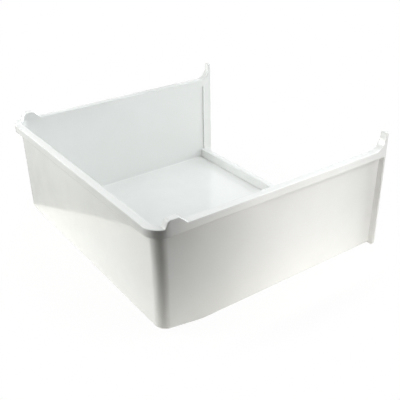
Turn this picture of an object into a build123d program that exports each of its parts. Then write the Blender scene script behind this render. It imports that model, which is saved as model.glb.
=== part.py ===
"""Fridge drawer body: one moulded tray with an open front, a hollow rim and two front posts.

Frame: +Z up, open front at -Y, closed rear at +Y, origin at the middle of the underside.
All sizes are in millimetres and all angles in degrees.
"""

import os
from math import atan2, degrees, radians, tan

from build123d import *

# Overall sizes
WIDTH = 450.0            # across the outer faces of the two side rims
DEPTH = 404.0            # from the front face of the posts to the rear face of the rim
RIM_HEIGHT = 165.0       # from the underside to the flat top of the rim

# Walls and floor
WALL = 2.5               # side and rear walls
FLOOR = 2.8              # floor
DRAFT = 0.5              # lean of the side and rear walls
FOOT_ROUND = 3.5         # outer edge between walls and floor
FLOOR_ROUND = 2.0        # inner edge between walls and floor

# Ramp: the rear of the floor climbs to the rear wall
RAMP_RUN = 76.0          # from the rear face of the rim to where the climb starts
RAMP_RISE = 12.0         # climb over that run
RAMP_BLEND = 60.0        # radius of the underside where the climb starts

# Rim: an upside-down channel round the sides and the rear
RIM_WIDTH = 11.5         # inner face of the wall to outer face of the skirt
RIM_SKIRT = 12.0         # flat top to lower edge of the skirt
RIM_PLATE = 2.5          # thickness of the top
SKIRT_WALL = 2.2         # thickness of the skirt
RIM_CORNER = 25.0        # outer radius at the rear corners
RIM_EDGE = 1.0           # rounding of the rim's top edges and of the posts
SKIRT_EDGE = 0.7         # rounding of the skirt's lower edge

# Stop humps on the side rims, just ahead of the rear corners
HUMP_HEIGHT = 11.0       # above the flat rim
HUMP_REAR = 18.0         # from the rear face of the rim to the foot of the steep end
HUMP_STEEP = 3.6         # run of the steep end
HUMP_SHOULDER = 3.6      # run of the bevel above it
HUMP_SHOULDER_DROP = 1.9  # fall of that bevel
HUMP_TOP = 12.6          # length of the flat top
HUMP_RAMP = 12.0         # run of the slope at the front
HUMP_ROUND = 1.8         # rounding of its corners

# Front posts: a flange across the end of each side wall, swept up into a horn
FLANGE = 3.5             # thickness of the flange
FLANGE_CORNER = 5.0      # radius of its lower outer corner
HORN_HEIGHT = 27.5       # top of the horn above the flat rim
HORN_TIP = 5.0           # length of the horn at its top
HORN_STRAIGHT = 3.0      # upright stretch below the top
HORN_RUN = 23.0          # from the front face to where the rim starts to climb
HORN_ROUND = 1.6         # rounding of the tip

# Front panel bay: threshold across the floor and an upright rib on each side wall
BAY = 13.0               # from the front face to the seat of the panel
THRESHOLD_WIDTH = 12.0   # front to rear
THRESHOLD_HEIGHT = 16.0  # above the floor
THRESHOLD_ROUND = 2.0    # rounding of its top edges
RIB_BACK = 17.5          # from the front face to the rib
RIB_THICK = 2.0          # front to rear
RIB_HEIGHT = 1.8         # proud of the wall
RIB_GAP = 14.0           # from the top of the rib to the flat rim

# Places worked out from the sizes above
half_width = WIDTH / 2
front_y = -DEPTH / 2
rear_y = DEPTH / 2
skirt_z = RIM_HEIGHT - RIM_SKIRT
horn_z = RIM_HEIGHT + HORN_HEIGHT
rib_z = RIM_HEIGHT - RIB_GAP
seat_y = front_y + BAY
rib_y = front_y + RIB_BACK
threshold_y = seat_y + THRESHOLD_WIDTH
threshold_z = FLOOR + THRESHOLD_HEIGHT
overhang = RIM_WIDTH - WALL
past_front = front_y - BAY
ramp_start_y = rear_y - RAMP_RUN
ramp_angle = degrees(atan2(RAMP_RISE, RAMP_RUN))


def lean(z):
    """How far the walls have leaned in at height z, below the skirt's lower edge."""
    return (skirt_z - z) * tan(radians(DRAFT))


def inner_x(z):
    """Half the width between the inner faces of the side walls at height z."""
    return half_width - RIM_WIDTH - lean(z)


def outline(half, near_y, far_y, corner, mode=Mode.ADD):
    """Fills a plan outline, square at the front and with a corner radius at the rear."""
    with BuildSketch(mode=Mode.PRIVATE) as plan:
        with Locations((0, (near_y + far_y) / 2)):
            Rectangle(2 * half, far_y - near_y)
        fillet(plan.vertices().group_by(Axis.Y)[-1], corner)
    add(plan.sketch, mode=mode)


def rim_outline(inset, near_y, mode=Mode.ADD):
    """Fills the rim's plan outline, drawn in from its outer faces by an inset."""
    outline(half_width - inset, near_y, rear_y - inset, RIM_CORNER - inset, mode)


def rim_profile(inset, low_z):
    """Fills the side view under the rim's top line, thinned by an inset, down to low_z."""
    top_z = RIM_HEIGHT - inset
    hump_z = RIM_HEIGHT + HUMP_HEIGHT - inset
    hump_foot = rear_y - HUMP_REAR - inset
    hump_heel = hump_foot - HUMP_STEEP
    hump_crest = hump_heel - HUMP_SHOULDER
    hump_toe = hump_crest - HUMP_TOP - HUMP_RAMP + 2 * inset
    hump_brow = hump_toe + HUMP_RAMP
    sweep_y = front_y + HORN_RUN
    sweep_z = horn_z - HORN_STRAIGHT
    tip_y = front_y + HORN_TIP - inset
    with BuildLine() as top_line:
        EllipticalCenterArc(
            (sweep_y, sweep_z), sweep_y - tip_y, sweep_z - top_z, start_angle=180, arc_size=90
        )
        FilletPolyline(
            (sweep_y, top_z),
            (hump_toe, top_z),
            (hump_brow, hump_z),
            (hump_crest, hump_z),
            (hump_heel, hump_z - HUMP_SHOULDER_DROP),
            (hump_foot, top_z),
            (rear_y, top_z),
            radius=HUMP_ROUND,
        )
        Polyline(
            (rear_y, top_z),
            (rear_y, low_z),
            (front_y, low_z),
            (front_y, horn_z - inset),
            (tip_y, horn_z - inset),
            (tip_y, sweep_z),
        )
    make_face(top_line.edges())


def tray_form(wall_inset, low_z, high_z, ramp, blend):
    """Builds a solid tray from low_z to high_z: leaning walls, rounded rear corners, a ramp under the rear."""
    with BuildPart() as form:
        with BuildSketch(Plane.XY.offset(low_z)):
            outline(half_width - wall_inset, past_front, rear_y - wall_inset, RIM_CORNER - wall_inset)
        extrude(amount=high_z - low_z)
        draft(form.faces().filter_by(Axis.Z, reverse=True), Plane.XY.offset(skirt_z), -DRAFT)
        split(bisect_by=ramp, keep=Keep.TOP)
        below = form.faces().filter_by(lambda face: face.normal_at().Z < -0.5)
        crease = below.edges().filter_by(Axis.X).group_by(Axis.Y)[1]
        fillet(crease, blend)
    return form.part


def foot_edges(tray):
    """The lower edges of a tray: its long sides, its rear corners and its rear."""
    below = tray.faces().filter_by(lambda face: face.normal_at().Z < -0.5)
    rear = below.edges().filter_by(Axis.X).sort_by(Axis.Y)[-1]
    return below.edges().filter_by(Axis.X, reverse=True) + [rear]


# Ramp planes: the underside and, a floor thickness above it, the inside
underside = Plane((0, ramp_start_y, 0)).rotated((ramp_angle, 0, 0))
inside = underside.offset(FLOOR)

# Inside of the tray, open through the front, with the threshold and the ribs left standing
with BuildPart() as inner:
    add(tray_form(RIM_WIDTH, FLOOR, horn_z, inside, RAMP_BLEND - FLOOR))
    fillet(foot_edges(inner), FLOOR_ROUND)
    with BuildSketch(Plane.YZ) as sill:
        with Locations(((seat_y + threshold_y) / 2, threshold_z / 2)):
            Rectangle(THRESHOLD_WIDTH, threshold_z)
        fillet(sill.vertices().group_by(Axis.Y)[-1], THRESHOLD_ROUND)
    extrude(amount=half_width, both=True, mode=Mode.SUBTRACT)
    with BuildSketch(Plane.XZ.offset(-rib_y)):
        with BuildLine():
            Polyline(
                (inner_x(0) - RIB_HEIGHT, 0),
                (half_width, 0),
                (half_width, rib_z),
                (inner_x(rib_z) - RIB_HEIGHT, rib_z),
                close=True,
            )
        make_face()
        mirror(about=Plane.YZ)
    extrude(amount=-RIB_THICK, mode=Mode.SUBTRACT)

# Bay in front of the threshold, open below, for the front panel
with BuildPart() as bay:
    with BuildSketch(Plane.XZ.offset(-seat_y)):
        with BuildLine():
            Polyline(
                (-inner_x(-FLOOR), -FLOOR),
                (inner_x(-FLOOR), -FLOOR),
                (inner_x(skirt_z), skirt_z),
                (-inner_x(skirt_z), skirt_z),
                close=True,
            )
        make_face()
    extrude(amount=2 * BAY)

# Channel under the rim, between the wall and the skirt
with BuildPart() as channel:
    with BuildSketch(Plane.XY.offset(skirt_z)):
        rim_outline(SKIRT_WALL, front_y + FLANGE)
        outline(half_width - overhang, past_front, rear_y - overhang, RIM_CORNER - overhang, Mode.SUBTRACT)
    extrude(amount=RIM_SKIRT + HORN_HEIGHT)
    with BuildSketch(Plane.YZ):
        rim_profile(RIM_PLATE, skirt_z)
    extrude(amount=WIDTH, both=True, mode=Mode.INTERSECT)

# Rim, still solid across: its plan outline cut to the top line of the side view
with BuildPart() as rim:
    with BuildSketch(Plane.XY.offset(skirt_z)):
        rim_outline(0, front_y)
    extrude(amount=RIM_SKIRT + HORN_HEIGHT)
    fillet(rim.edges().group_by(Axis.Z)[0].sort_by(Axis.Y)[1:], SKIRT_EDGE)
    with BuildSketch(Plane.YZ):
        rim_profile(0, skirt_z)
    extrude(amount=WIDTH, both=True, mode=Mode.INTERSECT)
    fillet(rim.edges().filter_by(Axis.X).group_by(Axis.Z)[-1], HORN_ROUND)

# Drawer body
with BuildPart() as drawer_body:
    # Outside of the tray, cut square at the front, with the rim on it
    add(tray_form(overhang, 0, skirt_z, underside, RAMP_BLEND))
    fillet(foot_edges(drawer_body), FOOT_ROUND)
    split(bisect_by=Plane.XZ.offset(-front_y), keep=Keep.BOTTOM)
    add(rim.part)

    # Flange across the end of each side wall
    with BuildSketch(Plane.XZ.offset(-front_y)) as post:
        with BuildLine():
            Polyline(
                (inner_x(0) - FOOT_ROUND, 0),
                (half_width, 0),
                (half_width, RIM_HEIGHT),
                (half_width - RIM_WIDTH, RIM_HEIGHT),
                close=True,
            )
        make_face()
        fillet(post.vertices().group_by(Axis.Y)[0].sort_by(Axis.X)[-1], FLANGE_CORNER)
        mirror(about=Plane.YZ)
    extrude(amount=-FLANGE)

    add(inner.part, mode=Mode.SUBTRACT)
    add(bay.part, mode=Mode.SUBTRACT)

    # Rounded top edges of the rim, running on round the posts
    above = drawer_body.edges().filter_by(lambda edge: edge.bounding_box().min.Z > skirt_z + RIM_EDGE)
    rear_lines = above.filter_by(Axis.X).filter_by(lambda edge: edge.length > half_width)
    fillet(above.filter_by(Axis.X, reverse=True) + rear_lines, RIM_EDGE)

    add(channel.part, mode=Mode.SUBTRACT)

    # Hollow under the threshold, open below
    with BuildSketch(Plane.YZ):
        with Locations(((seat_y + threshold_y) / 2, (threshold_z - WALL) / 2)):
            Rectangle(THRESHOLD_WIDTH - 2 * WALL, threshold_z - WALL)
    extrude(amount=inner_x(0) - WALL, both=True, mode=Mode.SUBTRACT)

os.makedirs("parts", exist_ok=True)
drawer_body.part.label = "drawer_body"
export_step(drawer_body.part, "parts/drawer_body.step")
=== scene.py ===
"""Looks of the fridge drawer: white moulded plastic on a pale table in soft studio light.

All lengths are in metres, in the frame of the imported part: +Z up, open front at -Y, closed rear at +Y.
"""

import bpy
import numpy as np
from mathutils import Matrix, Vector


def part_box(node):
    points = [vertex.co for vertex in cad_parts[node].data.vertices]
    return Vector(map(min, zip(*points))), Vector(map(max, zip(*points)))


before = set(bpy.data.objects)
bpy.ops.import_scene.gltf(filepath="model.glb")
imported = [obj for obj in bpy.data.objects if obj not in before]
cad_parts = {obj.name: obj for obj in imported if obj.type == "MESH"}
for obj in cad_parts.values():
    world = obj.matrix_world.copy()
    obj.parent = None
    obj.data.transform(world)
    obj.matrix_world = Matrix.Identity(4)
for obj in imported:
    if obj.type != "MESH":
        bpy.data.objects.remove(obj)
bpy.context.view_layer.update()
drawer_low, drawer_high = (Vector(corner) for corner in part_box("drawer_body"))

# Camera, at the photograph's viewing angle
CAMERA_PLACE = Vector((-0.7632, 0.5116, 0.5432))
CAMERA_AZIMUTH = np.radians(234.886)
CAMERA_ELEVATION = np.radians(28.247)
CAMERA_ROLL = np.radians(-0.845)
LENS_PIXELS = 631.4
IMAGE_PIXELS = 400
CENTRE_PIXEL = (201.2, 199.1)
SENSOR = 36.0
CAMERA_NEAR = 0.01

# Places of the colour sockets on a Mix node
MIX_FIRST = 6
MIX_SECOND = 7
MIX_RESULT = 2

# Drawer zones, for wear
RIM_SKIRT = 0.012
RIM_TOP = 0.165
RIM_WIDTH = 0.0115
FLOOR_ZONE = 0.014
ZONE_SOFT = 0.001

# White plastic
PLASTIC_WHITE = (0.865, 0.87, 0.86, 1)
PLASTIC_SHADE = (0.835, 0.84, 0.825, 1)
PLASTIC_SCUFF = (0.79, 0.79, 0.775, 1)
PLASTIC_IOR = 1.52
COAT_ROUGHNESS = 0.05
ROUGHNESS_LOW = 0.10
ROUGHNESS_HIGH = 0.17
COAT_LOW = 0.08
COAT_HIGH = 0.22
SCUFF_ROUGHNESS = 0.22
EDGE_ROUND = 0.0012
EDGE_SAMPLES = 6

# Moulded skin, with its scales in waves per metre
RIPPLE_SCALE = 110.0
RIPPLE_HEIGHT = 0.00004
GRAIN_RATIO = 9.0
GRAIN_SHARE = 0.08
DRIFT_SCALE = 7.0
GLOSS_SCALE = 24.0
SKIN_LOW = 0.3
SKIN_HIGH = 0.7

# Rubbed lines: along the side rims where it slides, and across the floor where things stand
SLIDE_STRETCH = (900.0, 7.0, 900.0)
SLIDE_PATCHES = 14.0
STAND_STRETCH = (60.0, 500.0, 500.0)
STAND_PATCHES = 9.0
STAND_SHARE = 0.6
STREAK_LOW = 0.54
STREAK_HIGH = 0.7
PATCH_LOW = 0.42
PATCH_HIGH = 0.62

# Table and backdrop
TABLE_WHITE = (0.92, 0.89, 0.83, 1)
BENCH_DARK = (0.08, 0.075, 0.065, 1)
TABLE_CORNERS = (
    (-0.46, -0.9),
    (0.9, -0.9),
    (0.9, -0.2),
    (0.232, 0.199),
    (0.137, 0.26),
    (0.023, 0.315),
    (-0.12, 0.35),
    (-0.46, 0.32),
)
SHEET_EDGE = -0.285
SHEET_SOFT = 0.02
# Where the sheet's painted reflection glow fades out: across past the near wall, and rearward
SIDE_FADE_START = -0.225
SIDE_FADE_END = -0.42
REAR_FADE_AIM = (0.485, 0.874, 0.0)
REAR_FADE_START = 0.19
REAR_FADE_END = 0.33
SHADOW_SHARE = 0.05
SHADOW_NEAR = 0.24
SHADOW_FAR = 0.34
STUDIO_DIM = 0.012
BACKDROP_AIM = Vector((0.75, -0.6, 0.3)).normalized()
BACKDROP_START = 0.45
BACKDROP_FULL = 0.75
BACKDROP_SHARE = 0.85
FULL_WHITE = (1, 1, 1, 1)

# Softboxes: name, place, target, size, watts and colour
LAMP_WHITE = (1.0, 1.0, 1.0)
SOFTBOXES = (
    ("softbox_above", (-0.3, -0.6, 1.2), (-0.11, -0.1, 0.08), 0.8, 8.5, (0.955, 0.995, 1.0)),
    ("softbox_front", (-0.3, -1.1, 0.3), (-0.1, -0.1, 0.08), 0.8, 8.6, (0.935, 0.985, 1.0)),
    ("softbox_back", (0.9, -0.8, 0.51), (0.1, -0.15, 0.0), 0.4, 0.32, LAMP_WHITE),
    ("softbox_side", (-0.45, -0.11, 0.25), (-0.11, -0.055, 0.08), 0.3, 0.43, (1.0, 0.99, 0.985)),
    ("softbox_side_high", (-0.45, -0.14, 0.35), (-0.11, -0.07, 0.08), 0.3, 0.29, (0.98, 1.0, 1.0)),
    ("softbox_side_low", (-0.4, -0.05, 0.09), (-0.11, -0.025, 0.08), 0.18, 0.14, (1.0, 0.96, 0.92)),
    ("softbox_far_side", (0.5, -0.05, 0.12), (0.2, -0.03, 0.08), 0.25, 0.35, LAMP_WHITE),
    ("softbox_rear", (0.28, 0.7, 0.65), (0.1, 0.1, 0.08), 0.45, 4.05, (0.97, 0.99, 1.0)),
    ("softbox_rear_low", (0.34, 0.9, 0.45), (0.11, 0.1, 0.08), 0.5, 4.95, (0.99, 1.0, 0.95)),
)


def camera_axes():
    """Right, up and back vectors of the camera, from its azimuth, elevation and roll.

    Back points from the object to the camera. Right is level and square to it, and up is square to both.
    The roll turns right and up about back. A last small turn puts the principal point at the middle of the
    image.
    """
    azimuth, elevation = CAMERA_AZIMUTH, CAMERA_ELEVATION
    back = Vector((
        np.sin(azimuth) * np.cos(elevation),
        -np.cos(azimuth) * np.cos(elevation),
        np.sin(elevation),
    ))
    level = Vector((0, 0, 1)).cross(back).normalized()
    upright = back.cross(level)
    right = level * np.cos(CAMERA_ROLL) + upright * np.sin(CAMERA_ROLL)
    up = upright * np.cos(CAMERA_ROLL) - level * np.sin(CAMERA_ROLL)
    middle = IMAGE_PIXELS / 2
    aside = (middle - CENTRE_PIXEL[0]) / LENS_PIXELS
    below = (CENTRE_PIXEL[1] - middle) / LENS_PIXELS
    back = (back - right * aside - up * below).normalized()
    right = (right - back * right.dot(back)).normalized()
    return right, back.cross(right), back


def add_camera():
    """Places the camera and makes it the scene's own."""
    data = bpy.data.cameras.new("camera")
    data.sensor_width = SENSOR
    data.lens = LENS_PIXELS / IMAGE_PIXELS * SENSOR
    data.clip_start = CAMERA_NEAR
    camera = bpy.data.objects.new("camera", data)
    axes = Matrix(camera_axes()).transposed().to_4x4()
    camera.matrix_world = Matrix.Translation(CAMERA_PLACE) @ axes
    bpy.context.scene.collection.objects.link(camera)
    bpy.context.scene.camera = camera


def new_material(name):
    """A material with an empty node tree, and that tree."""
    material = bpy.data.materials.new(name)
    material.use_nodes = True
    material.node_tree.nodes.clear()
    return material, material.node_tree


def set_inputs(tree, node, inputs):
    """Gives each input, by name or number, its value, or a link if it is given a socket."""
    for key, value in inputs.items():
        if isinstance(value, bpy.types.NodeSocket):
            tree.links.new(value, node.inputs[key])
        else:
            node.inputs[key].default_value = value


def add_node(tree, kind, inputs=None, **settings):
    """A node of this kind, with its settings made before its inputs are set."""
    node = tree.nodes.new(kind)
    for key, value in settings.items():
        setattr(node, key, value)
    set_inputs(tree, node, inputs or {})
    return node


def calc(tree, operation, first, second=0.0, clamp=False):
    """The output of a Math node on one or two values or sockets."""
    node = add_node(tree, "ShaderNodeMath", {0: first, 1: second}, operation=operation, use_clamp=clamp)
    return node.outputs[0]


def band(tree, value, low, high, target_low=0.0, target_high=1.0):
    """The value carried smoothly from one span to another, held at both ends."""
    node = add_node(
        tree,
        "ShaderNodeMapRange",
        {"Value": value, "From Min": low, "From Max": high, "To Min": target_low, "To Max": target_high},
        interpolation_type="SMOOTHSTEP",
    )
    return node.outputs["Result"]


def noise(tree, vector, scale, detail=2.0, roughness=0.5):
    """The grey output of a Noise Texture on these coordinates, with its scale in waves per metre."""
    node = add_node(
        tree,
        "ShaderNodeTexNoise",
        {"Vector": vector, "Scale": scale, "Detail": detail, "Roughness": roughness},
    )
    return node.outputs["Fac"]


def blend_colours(tree, share, first, second):
    """The first colour turning into the second as the share goes from 0 to 1."""
    node = add_node(
        tree,
        "ShaderNodeMix",
        {"Factor": share, MIX_FIRST: first, MIX_SECOND: second},
        data_type="RGBA",
    )
    return node.outputs[MIX_RESULT]


def new_group(name, inputs, outputs):
    """A shader node group with float or vector inputs and float outputs, its tree and its two end nodes."""
    tree = bpy.data.node_groups.new(name, "ShaderNodeTree")
    for label, kind in inputs:
        tree.interface.new_socket(name=label, in_out="INPUT", socket_type=kind)
    for label in outputs:
        tree.interface.new_socket(name=label, in_out="OUTPUT", socket_type="NodeSocketFloat")
    source = tree.nodes.new("NodeGroupInput")
    result = tree.nodes.new("NodeGroupOutput")
    return tree, source, result


def moulded_skin_group():
    """The skin of an injection moulding.

    Height is the faint ripple of the cooled surface with a finer grain on it. Drift is the slow change of
    tone over a wall. Gloss is the patchy change of polish from the mould.
    """
    inputs = [
        ("Vector", "NodeSocketVector"),
        ("Ripple Scale", "NodeSocketFloat"),
        ("Drift Scale", "NodeSocketFloat"),
        ("Gloss Scale", "NodeSocketFloat"),
    ]
    tree, source, result = new_group("moulded_skin", inputs, ("Height", "Drift", "Gloss"))
    place = source.outputs["Vector"]
    ripple = noise(tree, place, source.outputs["Ripple Scale"], 1.0)
    grain_scale = calc(tree, "MULTIPLY", source.outputs["Ripple Scale"], GRAIN_RATIO)
    grain = noise(tree, place, grain_scale, 2.0)
    height = calc(tree, "ADD", ripple, calc(tree, "MULTIPLY", grain, GRAIN_SHARE))
    drift = noise(tree, place, source.outputs["Drift Scale"], 3.0)
    gloss = noise(tree, place, source.outputs["Gloss Scale"], 4.0, 0.6)
    tree.links.new(height, result.inputs["Height"])
    tree.links.new(band(tree, drift, SKIN_LOW, SKIN_HIGH), result.inputs["Drift"])
    tree.links.new(band(tree, gloss, SKIN_LOW, SKIN_HIGH), result.inputs["Gloss"])
    return tree


def rubbed_lines_group():
    """Fine lines rubbed along one way.

    A noise stretched along the Stretch direction is thin streaks. A second, broad noise breaks them up, so
    that they come and go. Stretch scales the coordinates, small along the lines and large across them.
    """
    inputs = [
        ("Vector", "NodeSocketVector"),
        ("Stretch", "NodeSocketVector"),
        ("Patch Scale", "NodeSocketFloat"),
    ]
    tree, source, result = new_group("rubbed_lines", inputs, ("Lines",))
    stretched = add_node(
        tree,
        "ShaderNodeVectorMath",
        {0: source.outputs["Vector"], 1: source.outputs["Stretch"]},
        operation="MULTIPLY",
    )
    streaks = noise(tree, stretched.outputs["Vector"], 1.0, 3.0, 0.7)
    patches = noise(tree, source.outputs["Vector"], source.outputs["Patch Scale"], 2.0)
    fine = band(tree, streaks, STREAK_LOW, STREAK_HIGH)
    broken = band(tree, patches, PATCH_LOW, PATCH_HIGH)
    lines = calc(tree, "MULTIPLY", fine, broken)
    tree.links.new(lines, result.inputs["Lines"])
    return tree


def drawer_plastic():
    """White moulded plastic.

    It is glossy, with a faint ripple, drifting tone, rounded shading at the edges, and rubbed lines along
    the side rims and low on the floor.
    """
    material, tree = new_material("drawer_white_plastic")
    place = add_node(tree, "ShaderNodeTexCoord").outputs["Object"]
    axes = add_node(tree, "ShaderNodeSeparateXYZ", {"Vector": place})
    skin = add_node(tree, "ShaderNodeGroup", node_tree=moulded_skin_group())
    skin_values = {
        "Vector": place,
        "Ripple Scale": RIPPLE_SCALE,
        "Drift Scale": DRIFT_SCALE,
        "Gloss Scale": GLOSS_SCALE,
    }
    set_inputs(tree, skin, skin_values)
    rubbed = rubbed_lines_group()
    slides = add_node(tree, "ShaderNodeGroup", node_tree=rubbed)
    stands = add_node(tree, "ShaderNodeGroup", node_tree=rubbed)
    set_inputs(tree, slides, {"Vector": place, "Stretch": SLIDE_STRETCH, "Patch Scale": SLIDE_PATCHES})
    set_inputs(tree, stands, {"Vector": place, "Stretch": STAND_STRETCH, "Patch Scale": STAND_PATCHES})

    aside = calc(tree, "ABSOLUTE", axes.outputs["X"])
    rim_inside = drawer_high.x - RIM_WIDTH
    rim_bottom = RIM_TOP - RIM_SKIRT
    outward = band(tree, aside, rim_inside - ZONE_SOFT, rim_inside + ZONE_SOFT)
    high = band(tree, axes.outputs["Z"], rim_bottom - ZONE_SOFT, rim_bottom + ZONE_SOFT)
    on_rim = calc(tree, "MULTIPLY", outward, high)
    on_floor = band(tree, axes.outputs["Z"], FLOOR_ZONE, 0.0)
    rim_lines = calc(tree, "MULTIPLY", slides.outputs["Lines"], on_rim)
    floor_share = calc(tree, "MULTIPLY", on_floor, STAND_SHARE)
    floor_lines = calc(tree, "MULTIPLY", stands.outputs["Lines"], floor_share)
    scuff = calc(tree, "MAXIMUM", rim_lines, floor_lines)

    tone = blend_colours(tree, skin.outputs["Drift"], PLASTIC_WHITE, PLASTIC_SHADE)
    colour = blend_colours(tree, scuff, tone, PLASTIC_SCUFF)
    polish = band(tree, skin.outputs["Gloss"], 0.0, 1.0, ROUGHNESS_LOW, ROUGHNESS_HIGH)
    rough = calc(tree, "ADD", polish, calc(tree, "MULTIPLY", scuff, SCUFF_ROUGHNESS))
    edges = add_node(tree, "ShaderNodeBevel", {"Radius": EDGE_ROUND}, samples=EDGE_SAMPLES)
    bump = add_node(
        tree,
        "ShaderNodeBump",
        {
            "Strength": 1.0,
            "Distance": RIPPLE_HEIGHT,
            "Height": skin.outputs["Height"],
            "Normal": edges.outputs["Normal"],
        },
    )
    shader = add_node(
        tree,
        "ShaderNodeBsdfPrincipled",
        {
            "Base Color": colour,
            "Roughness": rough,
            "IOR": PLASTIC_IOR,
            "Coat Weight": band(tree, skin.outputs["Gloss"], 1.0, 0.0, COAT_LOW, COAT_HIGH),
            "Coat Roughness": COAT_ROUGHNESS,
            "Normal": bump.outputs["Normal"],
        },
    )
    add_node(tree, "ShaderNodeOutputMaterial", {"Surface": shader.outputs[0]})
    return material


def background_rays(tree):
    """Two masks: rays from the camera, and rays from a reflection or through glass."""
    path = add_node(tree, "ShaderNodeLightPath")
    mirrored = calc(tree, "MAXIMUM", path.outputs["Is Glossy Ray"], path.outputs["Is Transmission Ray"])
    return path.outputs["Is Camera Ray"], mirrored


def table_material():
    """A white sheet on a dark bench.

    To the camera it is white all over, with a faint share of the drawer's shadow that falls to nothing away
    from the drawer. The sheet ends a little beyond the near side wall. In reflections it glows white, a
    painted reflection, and that glow fades out towards that edge and towards the slanted rear edge, as it
    does in the photograph.
    """
    material, tree = new_material("table_white")
    place = add_node(tree, "ShaderNodeTexCoord").outputs["Object"]
    across = add_node(tree, "ShaderNodeSeparateXYZ", {"Vector": place}).outputs["X"]
    rearward = add_node(
        tree,
        "ShaderNodeVectorMath",
        {0: place, 1: REAR_FADE_AIM},
        operation="DOT_PRODUCT",
    )
    away = add_node(tree, "ShaderNodeVectorMath", {0: place}, operation="LENGTH").outputs["Value"]
    on_sheet = band(tree, across, SHEET_EDGE - SHEET_SOFT, SHEET_EDGE + SHEET_SOFT)
    sheet_colour = blend_colours(tree, on_sheet, BENCH_DARK, TABLE_WHITE)
    paint = add_node(tree, "ShaderNodeBsdfDiffuse", {"Color": sheet_colour})
    glow = add_node(tree, "ShaderNodeEmission", {"Color": FULL_WHITE, "Strength": 1.0})
    camera, mirrored = background_rays(tree)
    unshadowed = band(tree, away, SHADOW_NEAR, SHADOW_FAR, 1.0 - SHADOW_SHARE, 1.0)
    seen = calc(tree, "MULTIPLY", camera, unshadowed)
    side_fade = band(tree, across, SIDE_FADE_END, SIDE_FADE_START)
    rear_fade = band(tree, rearward.outputs["Value"], REAR_FADE_END, REAR_FADE_START)
    # Painted reflection: the sheet glows white to reflected rays, fading towards its near and rear edges
    reflected_glow = calc(tree, "MULTIPLY", mirrored, calc(tree, "MULTIPLY", side_fade, rear_fade))
    mix = add_node(tree, "ShaderNodeMixShader", {"Fac": calc(tree, "MAXIMUM", seen, reflected_glow)})
    tree.links.new(paint.outputs[0], mix.inputs[1])
    tree.links.new(glow.outputs[0], mix.inputs[2])
    add_node(tree, "ShaderNodeOutputMaterial", {"Surface": mix.outputs[0]})
    return material


def add_table():
    """A flat sheet at the height of the drawer's underside."""
    corners = [(x, y, drawer_low.z) for x, y in TABLE_CORNERS]
    mesh = bpy.data.meshes.new("table")
    mesh.from_pydata(corners, [], [tuple(range(len(corners)))])
    mesh.materials.append(table_material())
    table = bpy.data.objects.new("table", mesh)
    bpy.context.scene.collection.objects.link(table)


def add_world():
    """White to the camera, a white backdrop behind the drawer in reflections, and dim elsewhere."""
    world = bpy.data.worlds.new("studio")
    bpy.context.scene.world = world
    world.use_nodes = True
    tree = world.node_tree
    tree.nodes.clear()
    aim = add_node(tree, "ShaderNodeTexCoord").outputs["Generated"]
    facing = add_node(tree, "ShaderNodeVectorMath", {0: aim, 1: BACKDROP_AIM}, operation="DOT_PRODUCT")
    backdrop = band(tree, facing.outputs["Value"], BACKDROP_START, BACKDROP_FULL, 0.0, BACKDROP_SHARE)
    camera, mirrored = background_rays(tree)
    seen = calc(tree, "MAXIMUM", camera, calc(tree, "MULTIPLY", mirrored, backdrop))
    dim = add_node(tree, "ShaderNodeBackground", {"Color": FULL_WHITE, "Strength": STUDIO_DIM})
    white = add_node(tree, "ShaderNodeBackground", {"Color": FULL_WHITE, "Strength": 1.0})
    mix = add_node(tree, "ShaderNodeMixShader", {"Fac": seen})
    tree.links.new(dim.outputs[0], mix.inputs[1])
    tree.links.new(white.outputs[0], mix.inputs[2])
    add_node(tree, "ShaderNodeOutputWorld", {"Surface": mix.outputs[0]})


def add_softbox(name, place, target, size, watts, colour):
    """A square area lamp at a place, facing a target, and not itself in view."""
    data = bpy.data.lights.new(name, "AREA")
    data.shape = "SQUARE"
    data.size = size
    data.energy = watts
    data.color = colour
    lamp = bpy.data.objects.new(name, data)
    towards = Vector(target) - Vector(place)
    lamp.rotation_euler = towards.to_track_quat("-Z", "Y").to_euler()
    lamp.location = place
    lamp.visible_camera = False
    bpy.context.scene.collection.objects.link(lamp)


add_camera()
add_table()
add_world()
for softbox in SOFTBOXES:
    add_softbox(*softbox)

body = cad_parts["drawer_body"]
body.data.materials.clear()
body.data.materials.append(drawer_plastic())

bpy.context.scene.view_settings.view_transform = "Standard"
